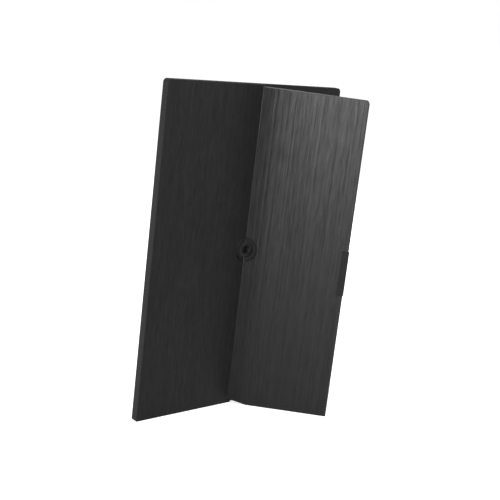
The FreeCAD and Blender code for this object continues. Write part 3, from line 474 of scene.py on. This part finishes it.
# %% Helpers for node trees
def start_tree(name, sizes):
    """New geometry tree with these named inputs, and the node that gives them out."""
    tree = bpy.data.node_groups.new(name, "GeometryNodeTree")
    tree.interface.new_socket("Geometry", in_out="OUTPUT", socket_type="NodeSocketGeometry")
    for size, value in sizes.items():
        kind = {int: "NodeSocketInt", float: "NodeSocketFloat"}.get(type(value), "NodeSocketVector")
        tree.interface.new_socket(size, in_out="INPUT", socket_type=kind)
    return tree, add(tree, "NodeGroupInput").outputs


def set_out(tree, shape, count, start, step, turn=(0.0, 0.0, 0.0)):
    """Set out copies of a shape along a straight line, all turned the same way."""
    line = add(tree, "GeometryNodeMeshLine",
               links={"Count": count, "Start Location": start, "Offset": step})
    copies = add(tree, "GeometryNodeInstanceOnPoints", {"Rotation": turn},
                 {"Points": line.outputs[0], "Instance": shape})
    return copies.outputs[0]


def end_tree(tree, geometry, finish):
    real = add(tree, "GeometryNodeRealizeInstances", links={"Geometry": geometry})
    dressed = add(tree, "GeometryNodeSetMaterial", {"Material": finish}, {"Geometry": real.outputs[0]})
    add(tree, "NodeGroupOutput", links={"Geometry": dressed.outputs[0]})


def grow(name, tree, sizes, body):
    """Run a tree on an empty mesh and keep what it makes as a plain piece on a body."""
    piece = bpy.data.objects.new(name, bpy.data.meshes.new(name))
    bpy.context.scene.collection.objects.link(piece)
    modifier = piece.modifiers.new("grow", "NODES")
    modifier.node_group = tree
    for item in tree.interface.items_tree:
        if item.in_out == "INPUT":
            modifier[item.identifier] = sizes[item.name]
    seen = piece.evaluated_get(bpy.context.evaluated_depsgraph_get())
    mesh = bpy.data.meshes.new_from_object(seen)
    piece.modifiers.remove(modifier)
    piece.data = mesh
    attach(piece, body)
    print(name, len(mesh.polygons), "faces")
    return piece


# %% [markdown]
# ## Case screws
# Six small screws in the recess behind the flap hold the two halves of the case together.
# Each has a low chamfered head with a cross slot. One screw is made from simple solids, cut by two bars,
# and then set out along a line; the tree needs only the head's size, the slot and the spacing.

# %% Case screws
SCREW_COUNT = 6
SCREW_HEAD = 0.7 * MM
HEAD_TAPER = 0.9
SCREW_SHANK_R = 0.8 * MM
SLOT_LONG = 1.5
SLOT_WIDE = 0.45 * MM
SLOT_DEEP = 0.4 * MM
TURN_BACK = (math.pi / 2, 0.0, 0.0)

screw_low, screw_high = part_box("case_screws")
screw_r = (screw_high.x - screw_low.x) / 2
screw_start = Vector(((screw_low.x + screw_high.x) / 2, screw_low.y, screw_low.z + screw_r))
screw_step = (screw_high.z - screw_low.z - 2 * screw_r) / (SCREW_COUNT - 1)
screw_sizes = {
    "Head Radius": screw_r, "Head Height": SCREW_HEAD, "Shank Radius": SCREW_SHANK_R,
    "Shank Length": screw_high.y - screw_low.y - SCREW_HEAD,
    "Slot Size": Vector((SLOT_LONG * screw_r, SLOT_WIDE, 2 * SLOT_DEEP)),
    "Count": SCREW_COUNT, "Start": screw_start, "Step": Vector((0, 0, screw_step)),
}


def screw_row():
    tree, size = start_tree("cross_slot_screws", screw_sizes)
    head = add(tree, "GeometryNodeMeshCone", {"Vertices": 40},
               {"Radius Bottom": size["Head Radius"], "Depth": size["Head Height"]})
    top = add(tree, "ShaderNodeMath", {1: HEAD_TAPER}, {0: size["Head Radius"]}, operation="MULTIPLY")
    tree.links.new(top.outputs[0], head.inputs["Radius Top"])
    down = add(tree, "ShaderNodeMath", {1: -1.0}, {0: size["Head Height"]}, operation="MULTIPLY")
    drop = add(tree, "ShaderNodeCombineXYZ", links={"Z": down.outputs[0]})
    seated = add(tree, "GeometryNodeTransform",
                 links={"Geometry": head.outputs[0], "Translation": drop.outputs[0]})
    shank = add(tree, "GeometryNodeMeshCylinder", {"Vertices": 24},
                {"Radius": size["Shank Radius"], "Depth": size["Shank Length"]})
    half = add(tree, "ShaderNodeMath", {1: -0.5}, {0: size["Shank Length"]}, operation="MULTIPLY")
    under = add(tree, "ShaderNodeMath", links={0: half.outputs[0], 1: down.outputs[0]}, operation="ADD")
    under_vector = add(tree, "ShaderNodeCombineXYZ", links={"Z": under.outputs[0]})
    hung = add(tree, "GeometryNodeTransform",
               links={"Geometry": shank.outputs[0], "Translation": under_vector.outputs[0]})
    bar = add(tree, "GeometryNodeMeshCube", links={"Size": size["Slot Size"]})
    crossed = add(tree, "GeometryNodeTransform", {"Rotation": (0, 0, math.pi / 2)},
                  {"Geometry": bar.outputs[0]})
    slotted = add(tree, "GeometryNodeMeshBoolean",
                  links={"Mesh 1": seated.outputs[0], "Mesh 2": bar.outputs[0]},
                  operation="DIFFERENCE", solver="EXACT")
    tree.links.new(crossed.outputs[0], slotted.inputs["Mesh 2"])
    screw = add(tree, "GeometryNodeJoinGeometry", links={0: slotted.outputs[0]})
    tree.links.new(hung.outputs[0], screw.inputs[0])
    row = set_out(tree, screw.outputs[0], size["Count"], size["Start"], size["Step"], TURN_BACK)
    end_tree(tree, row, black_steel_finish)
    return tree


screws = grow("cross_slot_case_screws", screw_row(), screw_sizes, "monitor")
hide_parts("case_screws")

# %% [markdown]
# ## Thread of the socket
# The socket has a three-eighths-inch thread of 16 turns to the inch, so its ridge climbs 1.59 mm a turn.
# A three-sided ring swept along a spiral is that ridge; its base sits a little in the wall of the bore
# and its crest points at the axis. Relief in the finish would stay flat at the rim of the hole.

# %% Thread ridge
INCH = 25.4 * MM
TURNS_TO_INCH = 16
PITCH = INCH / TURNS_TO_INCH
BORE_R = 3 / 8 * INCH / 2
RIDGE_R = 0.52 * MM
RIDGE_SUNK = 0.06 * MM
THREAD_IN = 0.55 * MM
THREAD_LONG = 3.6 * MM

thread_sizes = {
    "Turns": THREAD_LONG / PITCH, "Height": THREAD_LONG, "Ridge Radius": RIDGE_R,
    "Middle Radius": BORE_R + RIDGE_SUNK - RIDGE_R / 2,
    "Place": Vector((socket_axis.x, socket_low.y + THREAD_IN + THREAD_LONG, socket_axis.z)),
}


def thread_ridge():
    tree, size = start_tree("socket_thread_ridge", thread_sizes)
    path = add(tree, "GeometryNodeCurveSpiral", {"Resolution": 48},
               {"Rotations": size["Turns"], "Start Radius": size["Middle Radius"],
                "End Radius": size["Middle Radius"], "Height": size["Height"]})
    upright = add(tree, "GeometryNodeSetCurveNormal", links={"Curve": path.outputs[0]}, mode="Z_UP")
    ring = add(tree, "GeometryNodeCurvePrimitiveCircle", {"Resolution": 3},
               {"Radius": size["Ridge Radius"]}, mode="RADIUS")
    inward = add(tree, "GeometryNodeTransform", {"Rotation": (0, 0, math.pi)},
                 {"Geometry": ring.outputs[0]})
    ridge = add(tree, "GeometryNodeCurveToMesh", {"Fill Caps": True},
                {"Curve": upright.outputs[0], "Profile Curve": inward.outputs[0]})
    turned = add(tree, "GeometryNodeTransform", {"Rotation": TURN_BACK},
                 {"Geometry": ridge.outputs[0], "Translation": size["Place"]})
    end_tree(tree, turned.outputs[0], insert_finish)
    return tree


thread = grow("socket_thread", thread_ridge(), thread_sizes, "monitor")
thread_radii = [math.hypot(v.co.x - socket_axis.x, v.co.z - socket_axis.z) / MM
                for v in thread.data.vertices]
print("thread from radius", round(min(thread_radii), 2), "to", round(max(thread_radii), 2), "mm")

# %% [markdown]
# ## Ribbed pads on the long edge
# Two rubber pads carry the monitor when it lies on its long edge. They are ribbed across,
# so that they grip. Each pad is a low strip with a row of round ribs set along it,
# and the finished pad is then set out once more for the pair.

# %% Ribbed pads
PAD_COUNT = 2
PAD_LONG = 40.0 * MM
RIB_COUNT = 20
RIB_R = 0.55 * MM
RIB_SUNK = 0.25 * MM

pad_low, pad_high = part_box("edge_feet")
pad_wide = pad_high.y - pad_low.y
pad_deep = pad_high.x - pad_low.x - RIB_SUNK
rib_step = PAD_LONG / RIB_COUNT
pad_sizes = {
    "Strip Size": Vector((pad_deep, pad_wide, PAD_LONG)), "Rib Radius": RIB_R, "Rib Length": pad_wide,
    "Rib Count": RIB_COUNT, "Rib Step": Vector((0, 0, rib_step)),
    "First Rib": Vector((pad_deep / 2 + RIB_SUNK - RIB_R, 0, (rib_step - PAD_LONG) / 2)),
    "Pad Count": PAD_COUNT, "Pad Step": Vector((0, 0, pad_high.z - pad_low.z - PAD_LONG)),
    "Low Pad": Vector((pad_low.x + pad_deep / 2, (pad_low.y + pad_high.y) / 2,
                       pad_low.z + PAD_LONG / 2)),
}


def ribbed_pads():
    tree, size = start_tree("ribbed_rubber_pads", pad_sizes)
    strip = add(tree, "GeometryNodeMeshCube", links={"Size": size["Strip Size"]})
    rib = add(tree, "GeometryNodeMeshCylinder", {"Vertices": 20},
              {"Radius": size["Rib Radius"], "Depth": size["Rib Length"]})
    ribs = set_out(tree, rib.outputs[0], size["Rib Count"], size["First Rib"], size["Rib Step"],
                   TURN_BACK)
    pad = add(tree, "GeometryNodeJoinGeometry", links={0: strip.outputs[0]})
    tree.links.new(ribs, pad.inputs[0])
    pair = set_out(tree, pad.outputs[0], size["Pad Count"], size["Low Pad"], size["Pad Step"])
    end_tree(tree, pair, rubber_finish)
    return tree


pads = grow("ribbed_edge_pads", ribbed_pads(), pad_sizes, "monitor")
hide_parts("edge_feet")

# %% [markdown]
# ## Contacts in the port
# The tongue in the middle of the port carries twelve flat gold-plated contacts on each face,
# half a millimetre apart. One small bar is set out along a line on both faces.

# %% Port contacts
CONTACT_COUNT = 12
CONTACT_STEP = 0.5 * MM
CONTACT_SIZE = Vector((0.26 * MM, 0.06 * MM, 4.2 * MM))
CONTACT_PROUD = 0.02 * MM
CONTACT_END = 0.4 * MM

gold_finish = grained("contact_gold_plated", DRAWN_LINE, METAL, ("c79a4a", "dcb667"), rough=(0.2, 0.3))
tongue_low, tongue_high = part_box("usb_tongue")
tongue_middle = (tongue_low + tongue_high) / 2
contact_x = tongue_middle.x - CONTACT_STEP * (CONTACT_COUNT - 1) / 2
contact_z = tongue_high.z - CONTACT_SIZE.z / 2 - CONTACT_END
contact_sizes = {
    "Contact Size": CONTACT_SIZE, "Count": CONTACT_COUNT, "Step": Vector((CONTACT_STEP, 0, 0)),
    "Back Row": Vector((contact_x, tongue_low.y + CONTACT_SIZE.y / 2 - CONTACT_PROUD, contact_z)),
    "Front Row": Vector((contact_x, tongue_high.y - CONTACT_SIZE.y / 2 + CONTACT_PROUD, contact_z)),
}


def contact_rows():
    tree, size = start_tree("port_contact_rows", contact_sizes)
    bar = add(tree, "GeometryNodeMeshCube", links={"Size": size["Contact Size"]})
    both = add(tree, "GeometryNodeJoinGeometry")
    for row in ("Back Row", "Front Row"):
        bars = set_out(tree, bar.outputs[0], size["Count"], size[row], size["Step"])
        tree.links.new(bars, both.inputs[0])
    end_tree(tree, both.outputs[0], gold_finish)
    return tree


grow("port_contacts", contact_rows(), contact_sizes, "monitor")

# %% [markdown]
# ## Floor
# The monitor stands on a plain white floor that runs out of the picture. It is lit like anything else,
# so it keeps the soft shadow, and a little light of its own for what the camera, gloss and glass see
# brings it up to the white of the background. That light grows with the distance from the monitor,
# so that the floor runs into the background without a line.

# %% Floor
FLOOR_HALF = 20.0
FLOOR_CORNERS = ((-1, -1), (1, -1), (1, 1), (-1, 1))
FLOOR_GLOW = 0.6
GLOW_NEAR = 0.3
GLOW_FAR = 1.2
WHITE = hex_linear("ffffff")


def seen_directly(tree):
    """1 for rays from the camera, gloss and glass, and 0 for the light that falls on things."""
    rays = add(tree, "ShaderNodeLightPath").outputs
    two = add(tree, "ShaderNodeMath", links={0: rays["Is Camera Ray"], 1: rays["Is Glossy Ray"]},
              operation="MAXIMUM")
    three = add(tree, "ShaderNodeMath", links={0: two.outputs[0], 1: rays["Is Transmission Ray"]},
                operation="MAXIMUM")
    return three.outputs[0]


def paper_white():
    sockets = {"Base Color": hex_linear("e8e8e8"), "Roughness": 0.9, "Specular IOR Level": 0.0,
               "Emission Color": WHITE}
    finish, tree, shader, place = start_finish("paper_floor_white", sockets)
    far = add(tree, "ShaderNodeVectorMath", links={0: place}, operation="LENGTH")
    own = add(tree, "ShaderNodeMapRange",
              {"From Min": GLOW_NEAR, "From Max": GLOW_FAR, "To Min": FLOOR_GLOW, "To Max": 1.0},
              {"Value": far.outputs["Value"]})
    glow = add(tree, "ShaderNodeMath", links={0: own.outputs[0], 1: seen_directly(tree)},
               operation="MULTIPLY")
    tree.links.new(glow.outputs[0], shader.inputs["Emission Strength"])
    return finish


floor_z = cad_box[0].z
floor_mesh = bpy.data.meshes.new("studio_floor")
floor_mesh.from_pydata([(x * FLOOR_HALF, y * FLOOR_HALF, floor_z) for x, y in FLOOR_CORNERS], [],
                       [(0, 1, 2, 3)])
floor_mesh.materials.append(paper_white())
floor = bpy.data.objects.new("studio_floor", floor_mesh)
bpy.context.scene.collection.objects.link(floor)
print("floor at", round(floor_z / MM, 3), "mm")

# %% [markdown]
# ## Light
# In the photograph a soft light glows on the upper part of the flap. The flap faces the camera squarely,
# so it mirrors what is behind the camera: the key lamp stands there, a little higher. A small weak lamp
# is where the fixed half mirrors it, a low one on the left lights the thin side of the case,
# and one overhead the top edges. The last, on the right, is for the inside of the flap,
# which the photograph doesn't show. Each is a soft rectangle, given in metres and watts.
# The room adds an even low light, and shows as white behind everything.

# %% Lamps and room
BACK_MIDDLE = (0.02, -0.04, 0.2)
LAMPS = {
    "key_soft": {"place": (-1.62, -1.72, 0.67), "aim": BACK_MIDDLE, "size": (0.6, 0.2), "power": 53},
    "fill_soft": {"place": (0.6, -1.06, 0.6), "aim": BACK_MIDDLE, "size": (0.3, 0.3), "power": 3.3},
    "side_soft": {"place": (-1.5, 0.35, 0.2), "aim": (-0.1, 0.0, 0.1), "size": (0.6, 0.3), "power": 19},
    "top_soft": {"place": (0.0, -0.1, 1.9), "aim": (0.0, 0.0, 0.2), "size": (0.6, 0.6), "power": 24},
    "right_soft": {"place": (1.5, 0.26, 0.3), "aim": (0.1, 0.0, 0.15), "size": (0.4, 0.4), "power": 17},
}
AMBIENT = 0.05


def soft_lamp(name, place, aim, size, power):
    lamp = bpy.data.lights.new(name, "AREA")
    lamp.shape = "RECTANGLE"
    lamp.size, lamp.size_y = size
    lamp.energy = power
    holder = bpy.data.objects.new(name, lamp)
    bpy.context.scene.collection.objects.link(holder)
    holder.location = place
    holder.rotation_euler = (Vector(aim) - Vector(place)).to_track_quat("-Z", "Y").to_euler()


for lamp_name, lamp_values in LAMPS.items():
    soft_lamp(lamp_name, **lamp_values)

room = bpy.data.worlds.new("studio_room")
bpy.context.scene.world = room
room.use_nodes = True
room_tree = room.node_tree
backdrop = room_tree.nodes["Background"]
backdrop.inputs["Color"].default_value = WHITE
level = add(room_tree, "ShaderNodeMapRange", {"To Min": AMBIENT, "To Max": 1.0},
            {"Value": seen_directly(room_tree)})
room_tree.links.new(level.outputs[0], backdrop.inputs["Strength"])
bpy.context.scene.view_settings.view_transform = "Standard"
print("lamps", list(LAMPS))

# %% [markdown]
# ## Camera
# The straight edges of the case give the photograph's camera: a short telephoto on the left of the back,
# a little above the case and turned on its axis by nearly eight degrees. The photograph is cut
# somewhat off-centre, which a small lens shift repeats.

# %% Camera
CAMERA_PLACE = Vector((-728.6, -873.4, 476.4)) * MM
CAMERA_YAW = math.radians(44.50)
CAMERA_PITCH = math.radians(-13.62)
CAMERA_ROLL = math.radians(7.73)
LENS = 72.61
LENS_SHIFT = (-0.141, 0.001)
SENSOR_WIDE = 36.0
VIEW_FAR = 100.0

forward = Vector((math.sin(CAMERA_YAW) * math.cos(CAMERA_PITCH),
                  math.cos(CAMERA_YAW) * math.cos(CAMERA_PITCH), math.sin(CAMERA_PITCH)))
level_right = forward.cross(Vector((0, 0, 1))).normalized()
level_up = level_right.cross(forward)
right = level_right * math.cos(CAMERA_ROLL) + level_up * math.sin(CAMERA_ROLL)
up = level_up * math.cos(CAMERA_ROLL) - level_right * math.sin(CAMERA_ROLL)
camera = bpy.data.objects.new("camera", bpy.data.cameras.new("camera"))
bpy.context.scene.collection.objects.link(camera)
turn = Matrix((right, up, -forward)).transposed().to_4x4()
camera.matrix_world = Matrix.Translation(CAMERA_PLACE) @ turn
camera.data.lens = LENS
camera.data.shift_x, camera.data.shift_y = LENS_SHIFT
camera.data.sensor_width = SENSOR_WIDE
camera.data.clip_end = VIEW_FAR
bpy.context.scene.camera = camera
print("camera looks along", [round(v, 3) for v in forward])
